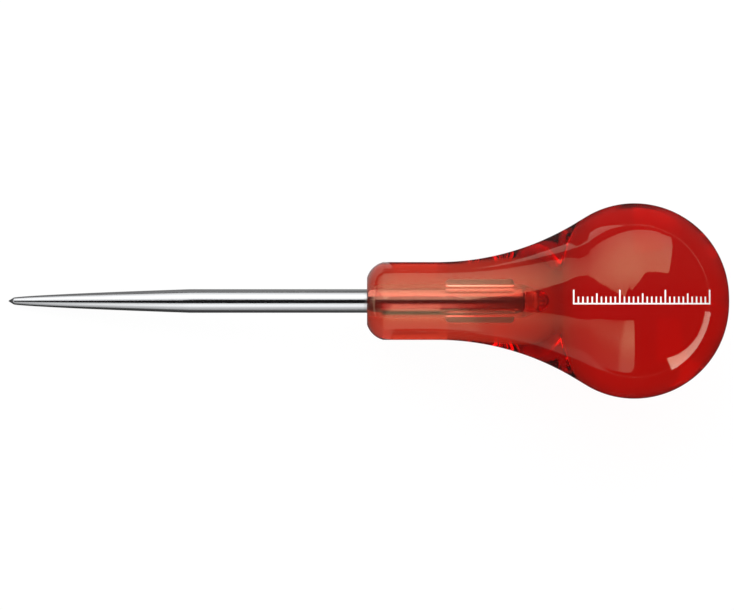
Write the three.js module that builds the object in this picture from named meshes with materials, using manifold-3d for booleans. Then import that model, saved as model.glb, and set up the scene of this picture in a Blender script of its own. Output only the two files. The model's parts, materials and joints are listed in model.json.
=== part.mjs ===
// Scratch awl: a tapered steel blade whose winged tang is held in a pear-shaped clear plastic handle.
// Millimetres, +Z up. The awl lies on a flat surface at z = 0, on its ball and on the shoulder of its point,
// with the point towards -X, the butt towards +X and the wings of the tang towards +Y and -Y.
// Each piece is drawn first in the tool's own frame: +X along the axis towards the butt, with x = 0 at the
// handle's front face. One group then leans and lifts them both.
import * as THREE from "three";
import { mergeVertices } from "three/addons/utils/BufferGeometryUtils.js";
import Module from "manifold-3d";

// Blade
const EXPOSED_LENGTH = 79.62; // from the point to the handle's front face
const SHANK_RADIUS = 2.625;
const TIP_RADIUS = 0.1; // a point is a hair blunt
const POINT_ANGLE = Math.PI / 6; // half of the included angle
const SHOULDER_RADIUS = 0.77; // where the point meets the long taper
const TAPER_LENGTH = 39.1;
const TAPER_POWER = 0.72; // under 1, so that the taper bulges
const TANG_LENGTH = 36.1; // inside the handle
const TANG_CHAMFER = 0.6; // along the axis
const TANG_END_RADIUS = 2.3;

// Wings: two ears pressed out of the tang, which stop the blade turning in the handle
const WING_START = 17.4; // from the front face
const WING_LENGTH = 16.2;
const WING_REACH = 3.5; // from the axis to the ear's edge
const WING_THICKNESS = 2.0;
const WING_CORNER = 1.0;
// Each ear was raised by a press mark along both of its sides.
const MARK_ANGLE = (50 * Math.PI) / 180; // from the wings' direction, round the tang
const MARK_WIDTH = 1.1;
const MARK_DEPTH = 0.25;

// Handle
const COLLAR_RADIUS = 8.64;
const COLLAR_LENGTH = 15.5; // where the flare starts
const CONE_ANGLE = (31.3 * Math.PI) / 180; // of the short straight cone between the flare and the ball
const EDGE_RADIUS = 5.1; // of the rounded front edge
const EDGE_CENTRE_RADIUS = 3.7; // from the axis to the centre of that round
const EDGE_CENTRE_X = 4.86;
const BALL_X = 59.35; // where the ball is widest, and the centres of its two arcs along the axis
const FRONT_ARC_RADIUS = 20.6;
const FRONT_OFFSET = 1.1; // from the axis to the front arc's centre
const BACK_OFFSET = 0.65; // from the axis to the back arc's centre, which leaves a small flat on the butt
const BACK_ARC_RADIUS = FRONT_ARC_RADIUS + FRONT_OFFSET - BACK_OFFSET;
const PILOT_RADIUS = 1.9; // of the bore's end, which the tang doesn't reach
const PILOT_START = 38.2; // where the bore has narrowed to that radius
const PILOT_END = 42.2;
const FIT_GAP = 0.3; // left between the tang and its seat

// How finely round shapes are cut
const HANDLE_SEGMENTS = 48;
const BLADE_SEGMENTS = 32;
const TAPER_STEPS = 8;
const EDGE_STEPS = 5;
const FLARE_STEPS = 9;
const FRONT_STEPS = 10;
const BACK_STEPS = 15;
const NOSE_STEPS = 5;
const CORNER_STEPS = 3;

const SHOULDER_X =
  (SHOULDER_RADIUS - TIP_RADIUS) / Math.tan(POINT_ANGLE) - EXPOSED_LENGTH;

const wasm = await Module();
wasm.setup();

function point(x, radius) {
  return new THREE.Vector2(radius, x);
}

// Points along an arc of a profile, with angles measured from the +X direction towards larger radii.
function arc(centreX, centreRadius, radius, from, to, steps) {
  return Array.from({ length: steps + 1 }, (_, i) => {
    const angle = from + ((to - from) * i) / steps;
    return point(
      centreX + radius * Math.cos(angle),
      centreRadius + radius * Math.sin(angle),
    );
  });
}

// Turns a profile about the X axis. A facet, and not an edge, faces straight down, for the awl to lie on.
function turned(profile, segments) {
  const lathe = new THREE.LatheGeometry(
    profile,
    segments,
    Math.PI / segments,
    2 * Math.PI,
  );
  return lathe.rotateZ(-Math.PI / 2);
}

function solidOf(geometry) {
  const bare = geometry.clone();
  bare.deleteAttribute("normal");
  bare.deleteAttribute("uv");
  const merged = mergeVertices(bare, 1e-4);
  return new wasm.Manifold(
    new wasm.Mesh({
      numProp: 3,
      vertProperties: new Float32Array(merged.attributes.position.array),
      triVerts: new Uint32Array(merged.index.array),
    }),
  );
}

function geometryOf(solid) {
  const mesh = solid.getMesh();
  const geometry = new THREE.BufferGeometry();
  geometry.setAttribute(
    "position",
    new THREE.BufferAttribute(mesh.vertProperties, 3),
  );
  geometry.setIndex(new THREE.BufferAttribute(mesh.triVerts, 1));
  geometry.computeVertexNormals();
  return geometry;
}

// The taper's points, from the shoulder to the plain shank, closer together where it curves most.
function taper() {
  return Array.from({ length: TAPER_STEPS + 1 }, (_, i) => {
    const along = (i / TAPER_STEPS) ** 2;
    const growth = (SHANK_RADIUS - SHOULDER_RADIUS) * along ** TAPER_POWER;
    return point(SHOULDER_X + along * TAPER_LENGTH, SHOULDER_RADIUS + growth);
  });
}

// The round bar from its point to the end of its tang, before the wings are pressed out.
function barProfile() {
  return [
    point(-EXPOSED_LENGTH, 0),
    point(-EXPOSED_LENGTH, TIP_RADIUS),
    ...taper(),
    point(TANG_LENGTH - TANG_CHAMFER, SHANK_RADIUS),
    point(TANG_LENGTH, TANG_END_RADIUS),
    point(TANG_LENGTH, 0),
  ];
}

// Both ears as one flat slab through the tang, with rounded corners. grow makes it larger all round.
function wingSlab(grow) {
  const x0 = WING_START - grow;
  const x1 = WING_START + WING_LENGTH + grow;
  const reach = WING_REACH + grow;
  const corner = WING_CORNER + grow;
  const outline = new THREE.Shape();
  outline.absarc(x1 - corner, reach - corner, corner, 0, Math.PI / 2);
  outline.absarc(x0 + corner, reach - corner, corner, Math.PI / 2, Math.PI);
  outline.absarc(x0 + corner, corner - reach, corner, Math.PI, 1.5 * Math.PI);
  outline.absarc(x1 - corner, corner - reach, corner, 1.5 * Math.PI, 2 * Math.PI);
  outline.closePath();
  const thickness = WING_THICKNESS + 2 * grow;
  const slab = new THREE.ExtrudeGeometry(outline, {
    depth: thickness,
    bevelEnabled: false,
    curveSegments: CORNER_STEPS,
  });
  return slab.translate(0, 0, -thickness / 2);
}

// The shallow press marks that raised the ears, one along each side of each ear.
function pressMarks() {
  const angles = [
    MARK_ANGLE,
    Math.PI - MARK_ANGLE,
    Math.PI + MARK_ANGLE,
    -MARK_ANGLE,
  ];
  return angles.map((angle) => {
    const mark = new THREE.BoxGeometry(
      WING_LENGTH,
      2 * MARK_DEPTH,
      MARK_WIDTH,
    );
    mark.translate(WING_START + WING_LENGTH / 2, SHANK_RADIUS, 0);
    return mark.rotateX(angle);
  });
}

function bladeGeometry() {
  let blade = solidOf(turned(barProfile(), BLADE_SEGMENTS));
  for (const mark of pressMarks()) {
    blade = blade.subtract(solidOf(mark));
  }
  return geometryOf(blade.add(solidOf(wingSlab(0))));
}

// The handle's outside: a rounded front edge, a plain collar, a hollow flare, a short cone, and the ball,
// whose front and back arcs meet where it is widest. Each runs smoothly into the next.
function handleProfile() {
  const edgeFace = Math.acos(-EDGE_CENTRE_X / EDGE_RADIUS);
  const edgeTop = Math.PI - Math.asin((COLLAR_RADIUS - EDGE_CENTRE_RADIUS) / EDGE_RADIUS);
  const sine = Math.sin(CONE_ANGLE);
  const cosine = Math.cos(CONE_ANGLE);
  const slope = sine / cosine;
  const run = BALL_X - FRONT_ARC_RADIUS * sine - COLLAR_LENGTH;
  const rise = FRONT_OFFSET + FRONT_ARC_RADIUS * cosine - COLLAR_RADIUS;
  const flareRadius = (run * slope - rise) / (sine * slope - 1 + cosine);
  return [
    point(0, 0),
    ...arc(EDGE_CENTRE_X, EDGE_CENTRE_RADIUS, EDGE_RADIUS, edgeFace, edgeTop, EDGE_STEPS),
    ...arc(
      COLLAR_LENGTH,
      COLLAR_RADIUS + flareRadius,
      flareRadius,
      -Math.PI / 2,
      CONE_ANGLE - Math.PI / 2,
      FLARE_STEPS,
    ),
    ...arc(
      BALL_X,
      FRONT_OFFSET,
      FRONT_ARC_RADIUS,
      Math.PI / 2 + CONE_ANGLE,
      Math.PI / 2,
      FRONT_STEPS,
    ),
    ...arc(BALL_X, BACK_OFFSET, BACK_ARC_RADIUS, Math.PI / 2, 0, BACK_STEPS).slice(1),
    point(BALL_X + BACK_ARC_RADIUS, 0),
  ];
}

// The space the tang fills, and the bore past it, which narrows to the pilot and ends in a rounded nose.
function seatProfile() {
  const seatRadius = SHANK_RADIUS + FIT_GAP;
  const nose = arc(0, 0, 1, Math.PI / 2, 0, NOSE_STEPS).map((p) =>
    point(PILOT_START + p.y * (PILOT_END - PILOT_START), p.x * PILOT_RADIUS),
  );
  nose.at(-1).x = 0;
  return [
    point(-1, 0),
    point(-1, seatRadius),
    point(TANG_LENGTH - TANG_CHAMFER, seatRadius),
    point(TANG_LENGTH + FIT_GAP, TANG_END_RADIUS + FIT_GAP),
    ...nose,
  ];
}

function handleGeometry() {
  const body = solidOf(turned(handleProfile(), HANDLE_SEGMENTS));
  const seat = solidOf(turned(seatProfile(), BLADE_SEGMENTS)).add(
    solidOf(wingSlab(FIT_GAP)),
  );
  return geometryOf(body.subtract(seat));
}

function piece(name, geometry, look) {
  const mesh = new THREE.Mesh(geometry, new THREE.MeshStandardMaterial(look));
  mesh.name = name;
  return mesh;
}

const awl = new THREE.Group();
awl.add(
  piece("handle", handleGeometry(), {
    color: 0xb01410,
    roughness: 0.08,
    metalness: 0,
    transparent: true,
    opacity: 0.7,
  }),
  piece("blade", bladeGeometry(), {
    color: 0xc9cacb,
    roughness: 0.15,
    metalness: 1,
  }),
);

// The awl leans until the ball's front arc and the shoulder of the point touch the same flat surface.
const shoulderToBall = Math.hypot(BALL_X - SHOULDER_X, SHOULDER_RADIUS - FRONT_OFFSET);
const lean =
  Math.asin(FRONT_ARC_RADIUS / shoulderToBall) -
  Math.asin((SHOULDER_RADIUS - FRONT_OFFSET) / shoulderToBall);
awl.rotation.y = -lean;

// The origin is under the middle of the awl, on that surface.
const box = new THREE.Box3().setFromObject(awl, true);
const middle = box.getCenter(new THREE.Vector3());
awl.position.set(-middle.x, -middle.y, -box.min.z);

const part = new THREE.Group();
part.add(awl);

export default part;
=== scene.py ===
"""Looks of a scratch awl: a polished steel blade in a pear-shaped handle of clear red plastic.

The awl lies on a pale floor. Its sizes are in millimetres in the tool's own frame: +X along the axis
towards the butt, x = 0 at the handle's front face, and the wings of the tang along +Y and -Y.
The record's mount on that face says where the frame stands in the scene.
The studio's sizes are in metres in the scene's frame.
"""

import json
import math

import bpy
from mathutils import Matrix, Vector


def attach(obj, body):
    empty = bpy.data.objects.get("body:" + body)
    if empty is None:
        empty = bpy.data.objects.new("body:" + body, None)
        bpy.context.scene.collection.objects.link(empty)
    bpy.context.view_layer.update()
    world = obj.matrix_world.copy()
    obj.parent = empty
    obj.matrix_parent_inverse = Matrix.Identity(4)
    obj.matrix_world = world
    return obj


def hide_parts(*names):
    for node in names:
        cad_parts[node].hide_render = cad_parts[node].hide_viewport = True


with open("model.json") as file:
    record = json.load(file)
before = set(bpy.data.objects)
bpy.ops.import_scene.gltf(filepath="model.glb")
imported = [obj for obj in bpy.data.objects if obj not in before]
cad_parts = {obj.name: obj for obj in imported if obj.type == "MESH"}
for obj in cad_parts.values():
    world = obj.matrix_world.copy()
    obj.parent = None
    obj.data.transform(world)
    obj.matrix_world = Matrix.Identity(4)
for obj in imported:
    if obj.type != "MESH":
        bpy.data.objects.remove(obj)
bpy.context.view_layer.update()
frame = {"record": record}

MM = 0.001

# Blade
EXPOSED_LENGTH = 79.62
SHANK_RADIUS = 2.625
TIP_RADIUS = 0.1
POINT_ANGLE = math.radians(30)
SHOULDER_RADIUS = 0.77
TAPER_LENGTH = 39.1
TAPER_POWER = 0.72
TANG_LENGTH = 36.1
TANG_CHAMFER = 0.6
TANG_END_RADIUS = 2.3
TANG_EDGE = 0.25  # the small round at the tang's end

# Wings of the tang
WING_START = 17.4
WING_LENGTH = 16.2
WING_END_ROUND = 1.2
WING_REACH = 3.5
WING_EDGE_Z = 0.35  # half the thickness of the ear's edge
WING_TOP = (3.42, 0.56)  # y and z where the ear's face meets its edge
WING_ROOT_ANGLE = math.radians(16)  # from +Y, where the ear's face leaves the round bar
PRESS_DEPTH = 0.16
PRESS_ANGLE = math.radians(49)
PRESS_SPREAD = math.radians(7)

# Handle
COLLAR_RADIUS = 8.64
COLLAR_LENGTH = 15.5
CONE_ANGLE = math.radians(31.3)  # of the short straight cone between the flare and the ball
EDGE_RADIUS = 5.1
EDGE_CENTRE_RADIUS = 3.7
EDGE_CENTRE_X = 4.86
BALL_X = 59.35  # where the ball is widest
FRONT_ARC_RADIUS = 20.6
FRONT_OFFSET = 1.1  # from the axis to the centre of the ball's front arc
BACK_OFFSET = 0.65
BACK_ARC_RADIUS = FRONT_ARC_RADIUS + FRONT_OFFSET - BACK_OFFSET
BORE_GAP = 0.03  # the thin layer of air round the tang
MOUTH_CHAMFER = 0.35
PILOT_RADIUS = 1.9
PILOT_START = 38.4
PILOT_END = 42.3
DRILL_RING_PITCH = 0.45
DRILL_RING_DEPTH = 0.12
GATE_RADIUS = 0.4  # the trimmed stub of the moulding's gate, on the butt
GATE_DEPTH = 0.08

# How finely the shapes are cut, in steps along each stretch
QUARTER_STEPS = (4, 4, 4, 24)  # round the axis: the ear's edge, its bevel, its face, and the round bar
WING_END_STEPS = 8
WING_MIDDLE_STEPS = 12
TIP_STEPS = 5
POINT_STEPS = 6
TAPER_STEPS = 48
SHANK_STEPS = 30
TANG_EDGE_STEPS = 5
BACK_STEPS = 75
FRONT_STEPS = 28
FLARE_STEPS = 48
COLLAR_STEPS = 8
FACE_EDGE_STEPS = 20
BORE_STEPS = 12
DRILLED_STEPS = 72
NOSE_STEPS = 16
SHARP_DEGREES = 35  # a bend sharper than this isn't shaded smooth
INK_SHARP_DEGREES = 30


# ---------------------------------------------------------------- frame
def tool_to_world():
    """The tool's frame in the scene, from the mount on the handle's front face."""
    mount = frame["record"]["mounts"][0]
    along = -Vector(mount["axis"]).normalized()
    across = Vector((0, 1, 0))
    up = along.cross(across)
    origin = Vector(mount["pos_m"])
    origin.y = 0
    turn = Matrix((along, across, up)).transposed().to_4x4()
    return Matrix.Translation(origin) @ turn


TOOL = tool_to_world()


def place(x, y, z):
    """A point of the tool's frame, in millimetres, as a point of the scene."""
    return TOOL @ (Vector((x, y, z)) * MM)


# ---------------------------------------------------------------- meshes
def quarter_angles():
    """Angles from +Y to +Z, closer together across the ear, whose edges they hit."""
    edge = math.atan2(WING_EDGE_Z, WING_REACH)
    top = math.atan2(WING_TOP[1], WING_TOP[0])
    stops = (0, edge, top, WING_ROOT_ANGLE, math.pi / 2)
    angles = []
    for start, end, steps in zip(stops, stops[1:], QUARTER_STEPS):
        angles += [start + (end - start) * i / steps for i in range(steps)]
    return angles


def ring_angles():
    """Angles all the way round, alike in each quarter."""
    quarter = quarter_angles()
    half = quarter + [math.pi - a for a in [math.pi / 2] + quarter[:0:-1]]
    return half + [a + math.pi for a in half]


ANGLES = ring_angles()


def revolve(name, stations):
    """A closed mesh round the tool's axis. A station is (x, radius), and radius may depend on the angle."""
    points = []
    rings = []
    for x, radius in stations:
        if radius == 0:
            rings.append([len(points)])
            points.append(place(x, 0, 0))
            continue
        rings.append(list(range(len(points), len(points) + len(ANGLES))))
        for angle in ANGLES:
            r = radius(angle) if callable(radius) else radius
            points.append(place(x, r * math.cos(angle), r * math.sin(angle)))
    faces = []
    count = len(ANGLES)
    for a, b in zip(rings, rings[1:]):
        for i in range(count):
            j = (i + 1) % count
            if len(a) == 1:
                faces.append((a[0], b[i], b[j]))
            elif len(b) == 1:
                faces.append((a[i], b[0], a[j]))
            else:
                faces.append((a[i], b[i], b[j], a[j]))
    return closed_mesh(name, points, faces, SHARP_DEGREES)


def closed_mesh(name, points, faces, sharp_degrees):
    """An object of one closed mesh whose faces point out, smooth except where it bends sharply."""
    mesh = bpy.data.meshes.new(name)
    mesh.from_pydata([tuple(point) for point in points], [], faces)
    mesh.validate()
    if signed_volume(mesh) < 0:
        mesh.flip_normals()
    mesh.shade_smooth()
    mesh.set_sharp_from_angle(angle=math.radians(sharp_degrees))
    piece = bpy.data.objects.new(name, mesh)
    bpy.context.scene.collection.objects.link(piece)
    return piece


def signed_volume(mesh):
    """Positive where the faces of a closed mesh point out."""
    mesh.calc_loop_triangles()
    total = 0.0
    for triangle in mesh.loop_triangles:
        a, b, c = (mesh.vertices[i].co for i in triangle.vertices)
        total += a.dot(b.cross(c)) / 6
    return total


def arc(centre_x, centre_r, radius, start, end, steps):
    """Stations along an arc, whose angles run from +X towards larger radii."""
    angles = [start + (end - start) * i / steps for i in range(steps + 1)]
    return [
        (centre_x + radius * math.cos(a), centre_r + radius * math.sin(a))
        for a in angles
    ]


def line(start, end, steps):
    """Stations from start up to, but not including, end."""
    return [
        (
            start[0] + (end[0] - start[0]) * i / steps,
            start[1] + (end[1] - start[1]) * i / steps,
        )
        for i in range(steps)
    ]


# ---------------------------------------------------------------- the tang's wings
def half_plane(angle, first, second):
    """How far out the straight line through two points of the section lies, at an angle."""
    edge = Vector(second) - Vector(first)
    normal = Vector((-edge.y, edge.x))
    direction = Vector((math.cos(angle), math.sin(angle)))
    return normal.dot(Vector(first)) / normal.dot(direction)


def winged_radius(angle):
    """The tang's radius through the wings: a round bar with two pressed ears."""
    y = abs(math.cos(angle))
    z = abs(math.sin(angle))
    folded = math.atan2(z, y)
    press = PRESS_DEPTH * math.exp(-(((folded - PRESS_ANGLE) / PRESS_SPREAD) ** 2))
    if folded > WING_ROOT_ANGLE:
        return SHANK_RADIUS - press
    root = (
        SHANK_RADIUS * math.cos(WING_ROOT_ANGLE),
        SHANK_RADIUS * math.sin(WING_ROOT_ANGLE),
    )
    edge = (WING_REACH, WING_EDGE_Z)
    face = half_plane(folded, root, WING_TOP)
    bevel = half_plane(folded, WING_TOP, edge)
    reach = WING_REACH / math.cos(folded)
    return min(face, bevel, reach) - press


def wing_section(share, growth):
    """The section where the ears have risen to that share of their height."""

    def radius(angle):
        return SHANK_RADIUS + share * (winged_radius(angle) - SHANK_RADIUS) + growth

    return radius


def wing_stations(growth):
    """The winged length, with round corners at both ends. growth makes it larger all round, for the bore."""
    start = WING_START - growth
    end = WING_START + WING_LENGTH + growth
    rising = []
    for i in range(WING_END_STEPS + 1):
        turn = math.pi / 2 * i / WING_END_STEPS
        along = WING_END_ROUND * (1 - math.cos(turn))
        rising.append((along, math.sin(turn)))
    straight = end - start - 2 * WING_END_ROUND
    middle = [
        (start + WING_END_ROUND + straight * i / WING_MIDDLE_STEPS, 1)
        for i in range(1, WING_MIDDLE_STEPS)
    ]
    stations = [(start + along, share) for along, share in rising]
    stations += middle
    stations += [(end - along, share) for along, share in reversed(rising)]
    return [(x, wing_section(share, growth)) for x, share in stations]


# ---------------------------------------------------------------- blade
def taper_stations():
    """From the shoulder of the point to the plain shank, closer together where the taper curves most."""
    shoulder_x = (SHOULDER_RADIUS - TIP_RADIUS) / math.tan(POINT_ANGLE) - EXPOSED_LENGTH
    stations = []
    for i in range(TAPER_STEPS + 1):
        along = (i / TAPER_STEPS) ** 2
        growth = (SHANK_RADIUS - SHOULDER_RADIUS) * along**TAPER_POWER
        stations.append((shoulder_x + along * TAPER_LENGTH, SHOULDER_RADIUS + growth))
    return stations


def make_blade():
    """The bar from its point to the end of its winged tang."""
    half = math.pi
    quarter = math.pi / 2
    tip_x = TIP_RADIUS - EXPOSED_LENGTH
    tip = arc(tip_x, 0, TIP_RADIUS, half, half - POINT_ANGLE * 2, TIP_STEPS)
    taper = taper_stations()
    stations = [(-EXPOSED_LENGTH, 0)] + tip[1:]
    stations += line(tip[-1], taper[0], POINT_STEPS)[1:]
    stations += taper
    stations += line(taper[-1], (WING_START, SHANK_RADIUS), SHANK_STEPS)[1:]
    stations += wing_stations(0)
    stations.append((TANG_LENGTH - TANG_CHAMFER, SHANK_RADIUS))
    edge_x = TANG_LENGTH - TANG_EDGE
    edge_r = TANG_END_RADIUS - TANG_EDGE
    stations.append((edge_x, TANG_END_RADIUS))
    stations += arc(edge_x, edge_r, TANG_EDGE, quarter, 0, TANG_EDGE_STEPS)[1:]
    stations.append((TANG_LENGTH, 0))
    return revolve("polished_blade", stations)


# ---------------------------------------------------------------- handle
def cone():
    """Where the cone between the flare and the ball starts and ends, and the radius of the flare's arc."""
    sine = math.sin(CONE_ANGLE)
    cosine = math.cos(CONE_ANGLE)
    slope = math.tan(CONE_ANGLE)
    end = (BALL_X - FRONT_ARC_RADIUS * sine, FRONT_OFFSET + FRONT_ARC_RADIUS * cosine)
    run = end[0] - COLLAR_LENGTH
    rise = end[1] - COLLAR_RADIUS
    flare = (run * slope - rise) / (sine * slope - 1 + cosine)
    start = (COLLAR_LENGTH + flare * sine, COLLAR_RADIUS + flare * (1 - cosine))
    return start, end, flare


def surface_normal(x):
    """The handle's radius at x, past the collar, and the direction of its outward normal along X and out."""
    start, end, flare = cone()
    if x < start[0]:
        lean = -math.asin((x - COLLAR_LENGTH) / flare)
        radius = COLLAR_RADIUS + flare * (1 - math.cos(lean))
    elif x < end[0]:
        lean = -CONE_ANGLE
        radius = start[1] + (x - start[0]) * math.tan(CONE_ANGLE)
    elif x < BALL_X:
        lean = math.asin((x - BALL_X) / FRONT_ARC_RADIUS)
        radius = FRONT_OFFSET + FRONT_ARC_RADIUS * math.cos(lean)
    else:
        lean = math.asin((x - BALL_X) / BACK_ARC_RADIUS)
        radius = BACK_OFFSET + BACK_ARC_RADIUS * math.cos(lean)
    return radius, math.sin(lean), math.cos(lean)


def outer_stations():
    """From the butt's centre to the front face's inner edge."""
    _, _, flare = cone()
    quarter = math.pi / 2
    butt = BALL_X + BACK_ARC_RADIUS
    stations = [(butt - GATE_DEPTH, 0), (butt - GATE_DEPTH, GATE_RADIUS - GATE_DEPTH)]
    stations.append((butt, GATE_RADIUS))
    stations += arc(BALL_X, BACK_OFFSET, BACK_ARC_RADIUS, 0, quarter, BACK_STEPS)
    front_end = quarter + CONE_ANGLE
    stations += arc(BALL_X, FRONT_OFFSET, FRONT_ARC_RADIUS, quarter, front_end, FRONT_STEPS)[1:]
    flare_r = COLLAR_RADIUS + flare
    stations += arc(COLLAR_LENGTH, flare_r, flare, CONE_ANGLE - quarter, -quarter, FLARE_STEPS)
    stations += line(stations[-1], (EDGE_CENTRE_X, COLLAR_RADIUS), COLLAR_STEPS)[1:]
    top = math.pi - math.asin((COLLAR_RADIUS - EDGE_CENTRE_RADIUS) / EDGE_RADIUS)
    face = math.acos(-EDGE_CENTRE_X / EDGE_RADIUS)
    stations += arc(EDGE_CENTRE_X, EDGE_CENTRE_RADIUS, EDGE_RADIUS, top, face, FACE_EDGE_STEPS)
    return stations


def bore_stations():
    """From the mouth of the bore to the end of its nose."""
    bore = SHANK_RADIUS + BORE_GAP
    stations = [(0, bore + MOUTH_CHAMFER), (MOUTH_CHAMFER, bore)]
    stations += line(stations[-1], (WING_START - BORE_GAP, bore), BORE_STEPS)[1:]
    stations += wing_stations(BORE_GAP)
    taper_start = TANG_LENGTH - TANG_CHAMFER
    slope = (bore - PILOT_RADIUS) / (PILOT_START - taper_start)
    for i in range(DRILLED_STEPS):
        along = (PILOT_START - taper_start) * i / DRILLED_STEPS
        ripple = abs(math.sin(math.pi * along / DRILL_RING_PITCH)) ** 0.5
        groove = DRILL_RING_DEPTH * ripple if along > TANG_CHAMFER else 0
        stations.append((taper_start + along, bore - slope * along + groove))
    for i in range(NOSE_STEPS):
        turn = math.pi / 2 * i / NOSE_STEPS
        x = PILOT_START + (PILOT_END - PILOT_START) * math.sin(turn)
        stations.append((x, PILOT_RADIUS * math.cos(turn)))
    stations.append((PILOT_END, 0))
    return stations


def make_handle():
    """The moulding, with its blind bore."""
    return revolve("clear_handle", outer_stations() + bore_stations())


# ---------------------------------------------------------------- printed scale
SCALE_START = 45.5
SCALE_LENGTH = 30
SCALE_FOOT = -0.75  # how far the foot of the scale lies from the axis along Y
LINE_WIDTH = 0.32
TICK_HEIGHTS = (3.2, 1.7, 2.4)  # at each tenth, each single and each fifth millimetre
INK_DEPTH = 0.01  # how far the film is sunk in
INK_HEIGHT = 0.02  # and how far it stands proud
SIDES = ((0, -1), (1, 0), (0, 1), (-1, 0))  # steps to the cells beside one, in the order of its edges


def surface_point(x, y, growth):
    """A point over the handle's upper side, x along the axis and y across it."""
    radius, lean, out = surface_normal(x)
    turn = math.asin(y / radius)
    normal = Vector((lean, out * math.sin(turn), out * math.cos(turn)))
    point = Vector((x, y, radius * math.cos(turn))) + normal * growth
    return place(*point)


def tick_height(millimetre):
    """How high the tick at a millimetre stands."""
    if millimetre % 10 == 0:
        return TICK_HEIGHTS[0]
    if millimetre % 5 == 0:
        return TICK_HEIGHTS[2]
    return TICK_HEIGHTS[1]


def make_scale():
    """A thin film of ink: a foot line and a tick at each millimetre, as one closed comb."""
    half = LINE_WIDTH / 2
    columns = []
    for millimetre in range(SCALE_LENGTH + 1):
        centre = SCALE_START + millimetre
        columns += [(centre - half, tick_height(millimetre)), (centre + half, LINE_WIDTH)]
    levels = sorted({0, LINE_WIDTH, *TICK_HEIGHTS})
    xs = [x for x, _ in columns]
    filled = set()
    for i, (_, height) in enumerate(columns[:-1]):
        for j, top in enumerate(levels[1:]):
            if top <= height:
                filled.add((i, j))
    points = []
    index = {}

    def corner(i, j, growth):
        key = (i, j, growth)
        if key not in index:
            index[key] = len(points)
            points.append(surface_point(xs[i], SCALE_FOOT + levels[j], growth)[:])
        return index[key]

    faces = []
    for i, j in sorted(filled):
        cell = [(i, j), (i + 1, j), (i + 1, j + 1), (i, j + 1)]
        faces.append([corner(a, b, INK_HEIGHT) for a, b in cell])
        faces.append([corner(a, b, -INK_DEPTH) for a, b in reversed(cell)])
        for (step_i, step_j), first, second in zip(SIDES, cell, cell[1:] + cell[:1]):
            if (i + step_i, j + step_j) in filled:
                continue
            foot = [corner(*first, -INK_DEPTH), corner(*second, -INK_DEPTH)]
            top = [corner(*second, INK_HEIGHT), corner(*first, INK_HEIGHT)]
            faces.append(foot + top)
    return closed_mesh("printed_scale", points, faces, INK_SHARP_DEGREES)


# ---------------------------------------------------------------- node helpers
WHITE = (1.0, 1.0, 1.0, 1.0)


def new_material(name):
    """An empty material, with its tree and its output node."""
    material = bpy.data.materials.new(name)
    material.use_nodes = True
    tree = material.node_tree
    tree.nodes.clear()
    out = add(tree, "ShaderNodeOutputMaterial")
    return material, tree, out


def feed(tree, target, value):
    """Links a socket to an input, or sets the input's own value."""
    if isinstance(value, bpy.types.NodeSocket):
        tree.links.new(value, target)
    else:
        target.default_value = value


def add(tree, kind, **values):
    """A node with its inputs fed, or its own settings set, by name."""
    node = tree.nodes.new(kind)
    for key, value in values.items():
        if key in node.inputs:
            feed(tree, node.inputs[key], value)
        else:
            setattr(node, key, value)
    return node


def maths(tree, operation, *values):
    """One sum on numbers or sockets."""
    node = tree.nodes.new("ShaderNodeMath")
    node.operation = operation
    for target, value in zip(node.inputs, values):
        feed(tree, target, value)
    return node.outputs[0]


def smooth_step(tree, value, low, high):
    """0 below low, 1 above high, with a smooth change between. Where low is the larger, it falls instead."""
    flipped = low > high
    limits = {
        "Value": value,
        "From Min": min(low, high),
        "From Max": max(low, high),
        "To Min": 1.0 if flipped else 0.0,
        "To Max": 0.0 if flipped else 1.0,
    }
    node = add(tree, "ShaderNodeMapRange", interpolation_type="SMOOTHSTEP", **limits)
    return node.outputs["Result"]


def band(tree, value, low, high, soft):
    """1 between low and high, and 0 outside."""
    rise = smooth_step(tree, value, low - soft, low + soft)
    fall = smooth_step(tree, value, high + soft, high - soft)
    return maths(tree, "MULTIPLY", rise, fall)


def profile(tree, value, stops):
    """A number that follows straight lines between (value, result) stops."""
    low = stops[0][0]
    high = stops[-1][0]
    peak = max(result for _, result in stops)
    share = add(tree, "ShaderNodeMapRange", **{"Value": value, "From Min": low, "From Max": high})
    ramp = add(tree, "ShaderNodeValToRGB", Fac=share.outputs["Result"])
    elements = ramp.color_ramp.elements
    for i, (at, result) in enumerate(stops):
        spot = (at - low) / (high - low)
        element = elements[i] if i < 2 else elements.new(spot)
        element.position = spot
        grey = result / peak
        element.color = (grey, grey, grey, 1.0)
    return maths(tree, "MULTIPLY", ramp.outputs["Color"], peak)


def between(tree, share, low, high):
    """A number that goes from low to high as the share goes from 0 to 1."""
    node = add(tree, "ShaderNodeMapRange", **{"Value": share, "To Min": low, "To Max": high})
    return node.outputs["Result"]


def tones(tree, share, first, second):
    """A colour that goes from the first to the second as the share goes from 0 to 1."""
    ramp = add(tree, "ShaderNodeValToRGB", Fac=share)
    ramp.color_ramp.elements[0].color = first
    ramp.color_ramp.elements[1].color = second
    return ramp.outputs["Color"]


def blend(tree, share, first, second):
    """The first colour where the share is 0, and the second where it is 1. Each is a colour or a socket."""
    node = add(tree, "ShaderNodeMix", data_type="RGBA", Factor=share)
    feed(tree, node.inputs[6], first)
    feed(tree, node.inputs[7], second)
    return node.outputs[2]


def noise(tree, place_on, **settings):
    """A smooth random share."""
    return add(tree, "ShaderNodeTexNoise", Vector=place_on, **settings).outputs["Fac"]


def bump(tree, **values):
    """A normal, bent by a height."""
    return add(tree, "ShaderNodeBump", **values).outputs["Normal"]


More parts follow.
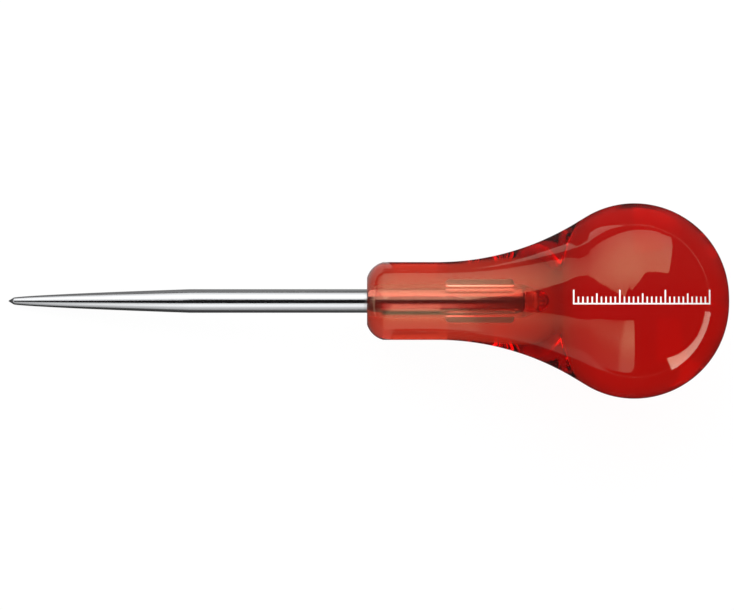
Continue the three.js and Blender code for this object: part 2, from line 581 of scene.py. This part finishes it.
def tool_coordinates(tree):
    """The tool's frame in millimetres for a material: one vector socket, and the sockets x, y and z."""
    inverse = TOOL.inverted()
    turn = add(
        tree,
        "ShaderNodeMapping",
        Vector=add(tree, "ShaderNodeTexCoord").outputs["Object"],
        Location=inverse.translation / MM,
        Rotation=inverse.to_euler(),
        Scale=(1 / MM,) * 3,
    )
    split = add(tree, "ShaderNodeSeparateXYZ", Vector=turn.outputs["Vector"])
    return turn.outputs["Vector"], split.outputs


# ---------------------------------------------------------------- materials
# Noise scales are for a frame in millimetres. Roughness ranges go from a noise of 0 to a noise of 1.
GRAIN = {"Scale": 5.0, "Detail": 3.0}  # the fine grain of pressed steel and of the slots it leaves
MASK_SOFT = 0.2

PLASTIC = {
    "Transmission Weight": 0.996,
    "IOR": 1.44,
    "Specular Tint": (1.0, 0.8, 0.45, 1.0),
}
DYE = {"Color": (0.975, 0.2, 0.0, 1.0), "Density": 150.0}  # it takes out blue and green, and hardly any red
FLOW = {"Scale": 0.06, "Detail": 3.0, "Roughness": 0.5}  # how the melt ran into the mould
FLOW_TONES = ((1.0, 0.93, 0.9, 1.0), (1.0, 1.0, 0.98, 1.0))
HANDLING = {"Scale": 0.9, "Detail": 4.0, "Roughness": 0.6}  # where hands have dulled the polish
POLISH = (0.008, 0.03)
BORE_LIMITS = (3.9, 3.5)  # from the axis: outside the first is the outer surface, within the second the bore
BORE_ROUGHNESS = 0.02  # added in the bore
SLOT_ROUGHNESS = 0.06  # and added again where the wings went in
RIPPLE = {"Scale": 0.11, "Detail": 2.0}
RIPPLE_BUMP = {"Strength": 0.03, "Distance": 0.0005}
SLOT_BUMP = 0.00002

TANG_MASK = (-1, 0)  # along x: the bright blade ends and the plain tang starts
EAR_MASK = (1.8, 2.1)  # from the axis along y, where the press has squeezed the steel
LINES = {"Scale": 1.0, "Detail": 4.0, "Roughness": 0.6}
LINES_STRETCH = (0.012, 3, 3)
BLADE_TONES = ((0.23, 0.233, 0.238, 1.0), (0.27, 0.273, 0.278, 1.0))
TANG_TONES = ((0.2, 0.2, 0.202, 1.0), (0.28, 0.278, 0.275, 1.0))
EAR_TONE = (0.5, 0.49, 0.48, 1.0)
EAR_TONE_SHARE = 0.6
BRUSHED = (0.1, 0.17)
TANG_ROUGHNESS = 0.1  # added on the tang
EAR_ROUGHNESS = 0.12  # and added again on its ears
LINES_BUMP = {"Strength": 0.05, "Distance": 0.00002}
EAR_BUMP = 0.00004

INK_PATCHES = {"Scale": 1.4, "Detail": 4.0, "Roughness": 0.6}
INK_TONES = ((0.78, 0.74, 0.72, 1.0), (0.9, 0.89, 0.88, 1.0))
INK_ROUGHNESS = (0.35, 0.6)
INK_BUMP = {"Strength": 0.2, "Distance": 0.00001}


def along_wings(tree, x):
    """1 along the winged length of the tang, and 0 elsewhere."""
    return band(tree, x, WING_START, WING_START + WING_LENGTH, MASK_SOFT)


def plastic():
    """Clear red cellulose acetate: polished outside, duller in the bore, and dyed."""
    material, tree, out = new_material("clear_red_plastic")
    place_on, (x, y, z) = tool_coordinates(tree)
    squares = maths(tree, "ADD", maths(tree, "POWER", y, 2), maths(tree, "POWER", z, 2))
    in_bore = smooth_step(tree, maths(tree, "SQRT", squares), *BORE_LIMITS)
    in_slots = maths(tree, "MULTIPLY", in_bore, along_wings(tree, x))
    gloss = between(tree, noise(tree, place_on, **HANDLING), *POLISH)
    gloss = maths(tree, "MULTIPLY_ADD", in_slots, SLOT_ROUGHNESS, gloss)
    gloss = maths(tree, "MULTIPLY_ADD", in_bore, BORE_ROUGHNESS, gloss)
    ripple = bump(tree, Height=noise(tree, place_on, **RIPPLE), **RIPPLE_BUMP)  # faint, from moulding
    grain = noise(tree, place_on, **GRAIN)
    normal = bump(tree, Height=grain, Strength=in_slots, Distance=SLOT_BUMP, Normal=ripple)
    tint = tones(tree, noise(tree, place_on, **FLOW), *FLOW_TONES)
    looks = {"Base Color": tint, "Roughness": gloss, "Normal": normal, **PLASTIC}
    shader = add(tree, "ShaderNodeBsdfPrincipled", **looks)
    dye = add(tree, "ShaderNodeVolumeAbsorption", **DYE)
    feed(tree, out.inputs["Surface"], shader.outputs["BSDF"])
    feed(tree, out.inputs["Volume"], dye.outputs["Volume"])
    return material


def steel():
    """Polished bar steel with faint lengthwise lines, and grain where the press has squeezed the ears."""
    material, tree, out = new_material("polished_steel")
    place_on, (x, y, _) = tool_coordinates(tree)
    along = add(tree, "ShaderNodeMapping", Vector=place_on, Scale=LINES_STRETCH)
    lines = noise(tree, along.outputs["Vector"], **LINES)
    on_tang = smooth_step(tree, x, *TANG_MASK)
    aside = smooth_step(tree, maths(tree, "ABSOLUTE", y), *EAR_MASK)
    on_ears = maths(tree, "MULTIPLY", along_wings(tree, x), aside)
    tone = blend(tree, on_tang, tones(tree, lines, *BLADE_TONES), tones(tree, lines, *TANG_TONES))
    tone = blend(tree, maths(tree, "MULTIPLY", on_ears, EAR_TONE_SHARE), tone, EAR_TONE)
    gloss = between(tree, lines, *BRUSHED)
    gloss = maths(tree, "MULTIPLY_ADD", on_tang, TANG_ROUGHNESS, gloss)
    gloss = maths(tree, "MULTIPLY_ADD", on_ears, EAR_ROUGHNESS, gloss)
    lined = bump(tree, Height=lines, **LINES_BUMP)
    grain = noise(tree, place_on, **GRAIN)
    normal = bump(tree, Height=grain, Strength=on_ears, Distance=EAR_BUMP, Normal=lined)
    looks = {"Base Color": tone, "Roughness": gloss, "Normal": normal}
    shader = add(tree, "ShaderNodeBsdfPrincipled", Metallic=1.0, **looks)
    feed(tree, out.inputs["Surface"], shader.outputs["BSDF"])
    return material


def ink():
    """White printing ink, slightly uneven."""
    material, tree, out = new_material("white_ink")
    place_on, _ = tool_coordinates(tree)
    patches = noise(tree, place_on, **INK_PATCHES)
    looks = {
        "Base Color": tones(tree, patches, *INK_TONES),
        "Roughness": between(tree, patches, *INK_ROUGHNESS),
        "Normal": bump(tree, Height=patches, **INK_BUMP),
    }
    shader = add(tree, "ShaderNodeBsdfPrincipled", **looks)
    feed(tree, out.inputs["Surface"], shader.outputs["BSDF"])
    return material


# ---------------------------------------------------------------- studio floor
FLOOR_SIZE = 6.0
FLOOR_TONE = (0.05, 0.05, 0.05, 1.0)
FLOOR_GLOW = 0.95  # the floor's own light, so that its shadows stay faint


def studio_object(name, corners):
    """An object of one flat face."""
    mesh = bpy.data.meshes.new(name)
    mesh.from_pydata(corners, [], [tuple(range(len(corners)))])
    thing = bpy.data.objects.new(name, mesh)
    bpy.context.scene.collection.objects.link(thing)
    return thing


def studio_floor():
    """A pale floor that the camera sees. Reflections and rays through the plastic see the world instead."""
    half = FLOOR_SIZE / 2
    corners = [(-half, -half, 0), (half, -half, 0), (half, half, 0), (-half, half, 0)]
    floor = studio_object("floor", corners)
    floor.visible_glossy = False
    floor.visible_transmission = False
    material, tree, out = new_material("pale_floor")
    matt = add(tree, "ShaderNodeBsdfDiffuse", Color=FLOOR_TONE)
    glow = add(tree, "ShaderNodeEmission", Strength=FLOOR_GLOW)
    lit = add(tree, "ShaderNodeAddShader")
    feed(tree, lit.inputs[0], matt.outputs[0])
    feed(tree, lit.inputs[1], glow.outputs[0])
    feed(tree, out.inputs["Surface"], lit.outputs[0])
    material.cycles.emission_sampling = "NONE"
    floor.data.materials.append(material)


# ---------------------------------------------------------------- small lights
# Each is level: from and to along X, from and to along Y, and its height. BY_Y says how bright it is there.
BESIDE_BLADE = ((-0.1, 0.006), (0, 0.05), -0.0002)
BESIDE_BY_Y = [(0, 0.3), (0.008, 0.5), (0.03, 0.8), (0.05, 1.0)]
BEFORE_BLADE = ((-0.1, 0.006), (-0.15, 0), -0.0002)
BEFORE_BY_Y = [(-0.15, 0.8), (-0.06, 0.5), (-0.02, 0.15), (0, 0.1)]
BY_TIP = ((-0.17, -0.1), (-0.02, 0.02), 0.03)
BY_TIP_BY_Y = [(-0.02, 2.0), (0.02, 3.0)]
OVER_TANG = ((-0.02, 0.0235), (0.015, 0.055), 0.1)
OVER_TANG_BY_Y = [(0.015, 3.0), (0.02, 3.6), (0.042, 3.9), (0.055, 3.9)]
OVER_TANG_COLOUR = (0.6, 1.0, 1.0, 1.0)  # white light comes back from the tang too pink


def small_light(name, place_at, by_y, through, colour=WHITE):
    """A level light seen only in reflections, or only through the plastic."""
    (start, end), (near, far), height = place_at
    corners = [(start, near, height), (end, near, height), (end, far, height), (start, far, height)]
    lamp = studio_object(name, corners)
    lamp.visible_camera = False
    lamp.visible_diffuse = False
    lamp.visible_shadow = False
    lamp.visible_glossy = not through
    lamp.visible_transmission = through
    material, tree, out = new_material(name)
    place_on = add(tree, "ShaderNodeTexCoord").outputs["Object"]
    y = add(tree, "ShaderNodeSeparateXYZ", Vector=place_on).outputs["Y"]
    glow = add(tree, "ShaderNodeEmission", Color=colour, Strength=profile(tree, y, by_y))
    feed(tree, out.inputs["Surface"], glow.outputs[0])
    material.cycles.emission_sampling = "NONE"
    lamp.data.materials.append(material)


# ---------------------------------------------------------------- light panels
# Their outlines are (x, height) from the middle of the ball. They lean in over it as they rise.
PANEL_FOOT = 1.19  # how far along Y a panel would stand at the ball's own height
PANEL_LEAN = 1.146  # how far a panel comes in for each metre of height
MAIN_OUTLINE = [
    (-1.3, -0.18),
    (-0.5, -0.04),
    (0.76, -0.04),
    (0.47, 0.64),
    (0.06, 0.66),
    (-1.0, 0.66),
    (-1.5, 0.38),
    (-1.6, 0.12),
]
CROWN_OUTLINE = [
    (0.06, 0.66),
    (-0.05, 0.76),
    (-0.18, 0.84),
    (-0.215, 0.88),
    (-0.25, 0.79),
    (-0.27, 0.84),
    (-0.4, 0.97),
    (-0.95, 0.69),
    (-1.0, 0.66),
]
LOW_OUTLINE = [
    (-0.01, 0.1),
    (-0.35, 0.1),
    (-0.4, -0.02),
    (-2.15, -0.02),
    (-2.2, 0.3),
    (-1.46, 0.58),
    (-0.9, 0.69),
    (-0.14, 0.76),
    (-0.1, 0.55),
    (-0.06, 0.35),
]
APRON_OUTLINE = [
    (-0.05, -0.08),
    (-1.05, -0.45),
    (-2.1, -1.2),
    (-2.15, -0.02),
    (-0.4, -0.02),
    (-0.35, 0.1),
    (-0.01, 0.1),
]

# How bright they are, by height over the floor and by x from the middle of the ball
MAIN_LIGHT = 3.6
MAIN_BY_HEIGHT = [
    (0, 0.42),
    (0.1, 0.5),
    (0.27, 0.68),
    (0.4, 0.85),
    (0.58, 1),
    (0.72, 0.9),
    (0.85, 0.6),
    (1, 0.6),
]
MAIN_BY_X = [(-1.5, 0.6), (-0.8, 0.85), (-0.3, 1.25), (-0.1, 1.25), (0.1, 1.05), (0.4, 1.1)]
LOW_LIGHT = 2.0
LOW_BY_HEIGHT = [(0, 0.4), (0.27, 0.5), (0.4, 0.7), (0.5, 1), (0.62, 1), (0.75, 0.7)]
LOW_BY_X = [(-1.8, 0.5), (-1, 0.6), (-0.45, 0.72), (-0.34, 0.9), (-0.26, 1.9), (-0.05, 1.9)]
MAIN_GLOW = (MAIN_LIGHT, MAIN_BY_HEIGHT, MAIN_BY_X)
LOW_GLOW = (LOW_LIGHT, LOW_BY_HEIGHT, LOW_BY_X)


def panel(name, outline, side, glow, through=True):
    """A leaning light panel at +Y (side 1) or -Y (side -1).

    through says whether it shows through the plastic as well as in reflections.
    """
    light, by_height, by_x = glow
    ball = place(BALL_X, 0, 0)
    corners = [
        (ball.x + x, side * (PANEL_FOOT - PANEL_LEAN * height), ball.z + height)
        for x, height in outline
    ]
    lamp = studio_object(name, corners)
    lamp.visible_camera = False
    lamp.visible_transmission = through
    material, tree, out = new_material(name)
    place_on = add(tree, "ShaderNodeTexCoord").outputs["Object"]
    split = add(tree, "ShaderNodeSeparateXYZ", Vector=place_on)
    upward = profile(tree, split.outputs["Z"], by_height)
    sideways = profile(tree, maths(tree, "SUBTRACT", split.outputs["X"], ball.x), by_x)
    strength = maths(tree, "MULTIPLY", maths(tree, "MULTIPLY", upward, sideways), light)
    shine = add(tree, "ShaderNodeEmission", Strength=strength)
    feed(tree, out.inputs["Surface"], shine.outputs[0])
    lamp.data.materials.append(material)


# ---------------------------------------------------------------- world
# Directions are in the tool's frame: x, y and z of a unit vector, where z is the sine of the height over
# the horizon, and the bearing is the turn from +X towards +Y, in degrees in the tables. The tool leans a
# little, and this horizon leans with it.
BACKDROP = WHITE
ROOM_ON_MATT = (0.6, 0.6, 0.6, 1.0)

# What reflections see: a dark room
ROOM_LIGHT = 0.02
RIM_TOP = 0.2  # the table's bright rim starts this far below the horizon
RIM_BOTTOM = [
    (-180, 0.217),
    (98, 0.217),
    (106, 0.3),
    (116, 0.42),
    (124, 0.42),
    (130, 0.217),
    (180, 0.217),
]
RIM_SOFT = 0.004
RIM_LIGHT = 1.6
WINDOW_LOW = -0.285
WINDOW_RISE = [(-64, 0.42), (-43, 0.25), (-28, 0.185), (0, 0.195)]
WINDOW_SIDES = (math.radians(-60), math.radians(-8))
WINDOW_LIGHT = [(-64, 9.0), (-45, 7.0), (-25, 5.5), (0, 5.0)]
WINDOW_SOFT = 0.01
# The floor's far side, lit by the main panel
SPILL_BY_HEIGHT = [(-1, 0), (-0.8, 0.05), (-0.3, 0.04), (0, 0.05)]
SPILL_SIDE = (0, 0.5)  # along y
LEFT_SPREAD = math.radians(150)  # bearings past which reflections see the room's left side
LEFT_SOFT = 0.05
LEFT_FLOOR_LIGHT = 2.0
LEFT_FLOOR_TOP = -0.2
LEFT_CARD = (0.0, 0.2)
LEFT_CARD_SOFT = 0.02
LEFT_CARD_LIGHT = 2.5

# What shows through the plastic: the red-lit floor beneath, and the room above
RED_BY_HEIGHT = [(-1, 0.46), (0.9, 0.42), (0.96, 0.3), (1, 0.25)]
GREEN_BY_HEIGHT = [(-1, 0.15), (0.9, 0.13), (0.96, 0.05), (1, 0.04)]
BLUE_BY_HEIGHT = [(-1, 0.11), (0.9, 0.1), (0.96, 0.04), (1, 0.03)]
RED_BY_X = [(-1, 1), (0.32, 1), (0.45, 0.88), (0.6, 0.7), (0.85, 0.42), (1, 0.4)]  # dim towards the butt
# On the low panel's side, straight across the axis, it is redder above the horizon and dark below it.
ACROSS_FROM = (-0.05, -0.15)  # along y
ACROSS_SPREAD = (-0.18, 0.18, 0.06)  # from and to along x, and how soft
REDDER_HEIGHTS = (0.3, 0.93, 0.05)  # the same along z
REDDER_LIGHT = 1.1  # added to the red
REDDER_TINT = (1.0, 0.45, 0.45)
SHADE_HEIGHTS = (-0.5, 0.12, 0.08)
SHADE_LEAVES = 0.12  # the share of the light that is left


def by_bearing(tree, bearing, stops):
    """A profile whose stops are in degrees."""
    return profile(tree, bearing, [(math.radians(at), result) for at, result in stops])


def table_rim(tree, z, bearing):
    """The bright rim of the table, which reaches lower at some bearings."""
    down = maths(tree, "MULTIPLY", z, -1)
    depth = maths(tree, "SUBTRACT", down, by_bearing(tree, bearing, RIM_BOTTOM))
    rim = smooth_step(tree, depth, RIM_SOFT, 0)
    rim = maths(tree, "MULTIPLY", rim, smooth_step(tree, down, RIM_TOP, RIM_TOP + RIM_SOFT))
    return maths(tree, "MULTIPLY", rim, RIM_LIGHT)


def low_window(tree, z, bearing):
    """1 in a low window before the awl, and 0 round it."""
    height = maths(tree, "SUBTRACT", z, WINDOW_LOW)
    over = maths(tree, "SUBTRACT", height, by_bearing(tree, bearing, WINDOW_RISE))
    window = smooth_step(tree, over, WINDOW_SOFT, -WINDOW_SOFT)
    foot = smooth_step(tree, z, WINDOW_LOW - WINDOW_SOFT, WINDOW_LOW + WINDOW_SOFT)
    window = maths(tree, "MULTIPLY", window, foot)
    return maths(tree, "MULTIPLY", window, band(tree, bearing, *WINDOW_SIDES, WINDOW_SOFT))


def left_side(tree, z, bearing):
    """A pale card over the room's left side, and the floor before it."""
    card = maths(tree, "MULTIPLY", band(tree, z, *LEFT_CARD, LEFT_CARD_SOFT), LEFT_CARD_LIGHT)
    floor = smooth_step(tree, z, LEFT_FLOOR_TOP, LEFT_FLOOR_TOP - LEFT_SOFT)
    floor = maths(tree, "MULTIPLY", floor, LEFT_FLOOR_LIGHT)
    turn = maths(tree, "ABSOLUTE", bearing)
    leftward = smooth_step(tree, turn, LEFT_SPREAD - LEFT_SOFT, LEFT_SPREAD + LEFT_SOFT)
    return maths(tree, "MULTIPLY", maths(tree, "ADD", card, floor), leftward)


def dark_room(tree, x, y, z):
    """How bright the room is in reflections, by direction."""
    bearing = maths(tree, "ARCTAN2", y, x)
    window = low_window(tree, z, bearing)
    window_light = by_bearing(tree, bearing, WINDOW_LIGHT)
    spill = profile(tree, z, SPILL_BY_HEIGHT)
    spill = maths(tree, "MULTIPLY", spill, smooth_step(tree, y, *SPILL_SIDE))
    light = maths(tree, "MULTIPLY_ADD", window, window_light, ROOM_LIGHT)
    light = maths(tree, "ADD", light, table_rim(tree, z, bearing))
    light = maths(tree, "ADD", light, spill)
    return maths(tree, "ADD", light, left_side(tree, z, bearing))


def red_floor(tree, x, y, z):
    """The colour that shows through the plastic, by direction."""
    near_side = smooth_step(tree, y, *ACROSS_FROM)
    across = maths(tree, "MULTIPLY", near_side, band(tree, x, *ACROSS_SPREAD))
    redder = maths(tree, "MULTIPLY", across, band(tree, z, *REDDER_HEIGHTS))
    red = maths(tree, "MULTIPLY_ADD", redder, REDDER_LIGHT, profile(tree, z, RED_BY_HEIGHT))
    red = maths(tree, "MULTIPLY", red, profile(tree, x, RED_BY_X))
    green = profile(tree, z, GREEN_BY_HEIGHT)
    blue = profile(tree, z, BLUE_BY_HEIGHT)
    shade = maths(tree, "MULTIPLY", across, band(tree, z, *SHADE_HEIGHTS))
    shade = maths(tree, "MULTIPLY_ADD", shade, SHADE_LEAVES - 1, 1)
    mixed = add(tree, "ShaderNodeCombineColor")
    for channel, colour in enumerate((red, green, blue)):
        tint = maths(tree, "MULTIPLY_ADD", redder, REDDER_TINT[channel] - 1, 1)
        colour = maths(tree, "MULTIPLY", colour, tint)
        feed(tree, mixed.inputs[channel], maths(tree, "MULTIPLY", shade, colour))
    return mixed.outputs[0]


def studio_world():
    """A pale backdrop for the camera, a dark room in reflections and a red-lit floor through the plastic."""
    world = bpy.data.worlds.new("studio")
    bpy.context.scene.world = world
    world.use_nodes = True
    world.cycles.sampling_method = "NONE"
    tree = world.node_tree
    tree.nodes.clear()
    out = add(tree, "ShaderNodeOutputWorld")
    path = add(tree, "ShaderNodeLightPath")
    place_on = add(tree, "ShaderNodeTexCoord").outputs["Generated"]
    turn = add(tree, "ShaderNodeMapping", vector_type="VECTOR", Vector=place_on)
    turn.inputs["Rotation"].default_value = TOOL.inverted().to_euler()
    split = add(tree, "ShaderNodeSeparateXYZ", Vector=turn.outputs["Vector"])
    room = add(tree, "ShaderNodeBackground", Strength=dark_room(tree, *split.outputs))
    beneath = add(tree, "ShaderNodeBackground", Color=red_floor(tree, *split.outputs))
    backdrop = add(tree, "ShaderNodeBackground", Color=BACKDROP)
    shown = add(tree, "ShaderNodeBackground", Color=ROOM_ON_MATT)
    views = {"Is Glossy Ray": room, "Is Transmission Ray": beneath, "Is Camera Ray": backdrop}
    for kind, view in views.items():
        pick = add(tree, "ShaderNodeMixShader")
        feed(tree, pick.inputs[0], path.outputs[kind])
        feed(tree, pick.inputs[1], shown.outputs[0])
        feed(tree, pick.inputs[2], view.outputs[0])
        shown = pick
    feed(tree, out.inputs["Surface"], shown.outputs[0])


# ---------------------------------------------------------------- camera
LENS = 400.0
SENSOR = 36.0
FAR_CLIP = 20
VIEW_WIDTH = 163.02  # how much of the tool's axis the picture takes in, in millimetres
VIEW_DROP = 0.89  # the picture's centre is this far below the axis, in millimetres


def studio_camera():
    """A long lens straight over the tool's axis."""
    data = bpy.data.cameras.new("camera")
    data.lens = LENS
    data.sensor_width = SENSOR
    data.clip_end = FAR_CLIP
    camera = bpy.data.objects.new("camera", data)
    bpy.context.scene.collection.objects.link(camera)
    distance = VIEW_WIDTH * LENS / SENSOR
    camera.matrix_world = TOOL @ Matrix.Translation(Vector((0, -VIEW_DROP, distance)) * MM)
    bpy.context.scene.camera = camera


# ---------------------------------------------------------------- assembly
def fit(piece, material, replaced):
    """Gives a piece its material and the body it rides, and hides the CAD piece that it replaces."""
    piece.data.materials.append(material)
    if replaced:
        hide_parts(replaced)
    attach(piece, "root")


fit(make_handle(), plastic(), "handle")
fit(make_blade(), steel(), "blade")
fit(make_scale(), ink(), None)

studio_floor()
small_light("lit_floor", BESIDE_BLADE, BESIDE_BY_Y, through=False)
small_light("lit_floor_before", BEFORE_BLADE, BEFORE_BY_Y, through=False)
small_light("tip_light", BY_TIP, BY_TIP_BY_Y, through=False)
small_light("tang_light", OVER_TANG, OVER_TANG_BY_Y, through=True, colour=OVER_TANG_COLOUR)
panel("main_panel", MAIN_OUTLINE, 1, MAIN_GLOW)
panel("crown_panel", CROWN_OUTLINE, 1, MAIN_GLOW, through=False)
panel("low_panel", LOW_OUTLINE, -1, LOW_GLOW)
panel("apron_panel", APRON_OUTLINE, -1, LOW_GLOW, through=False)
studio_world()
studio_camera()

scene = bpy.context.scene
scene.view_settings.view_transform = "Standard"
# Light that is trapped in the handle for a while still has to come out.
scene.cycles.max_bounces = 24
scene.cycles.transmission_bounces = 20
scene.cycles.glossy_bounces = 12
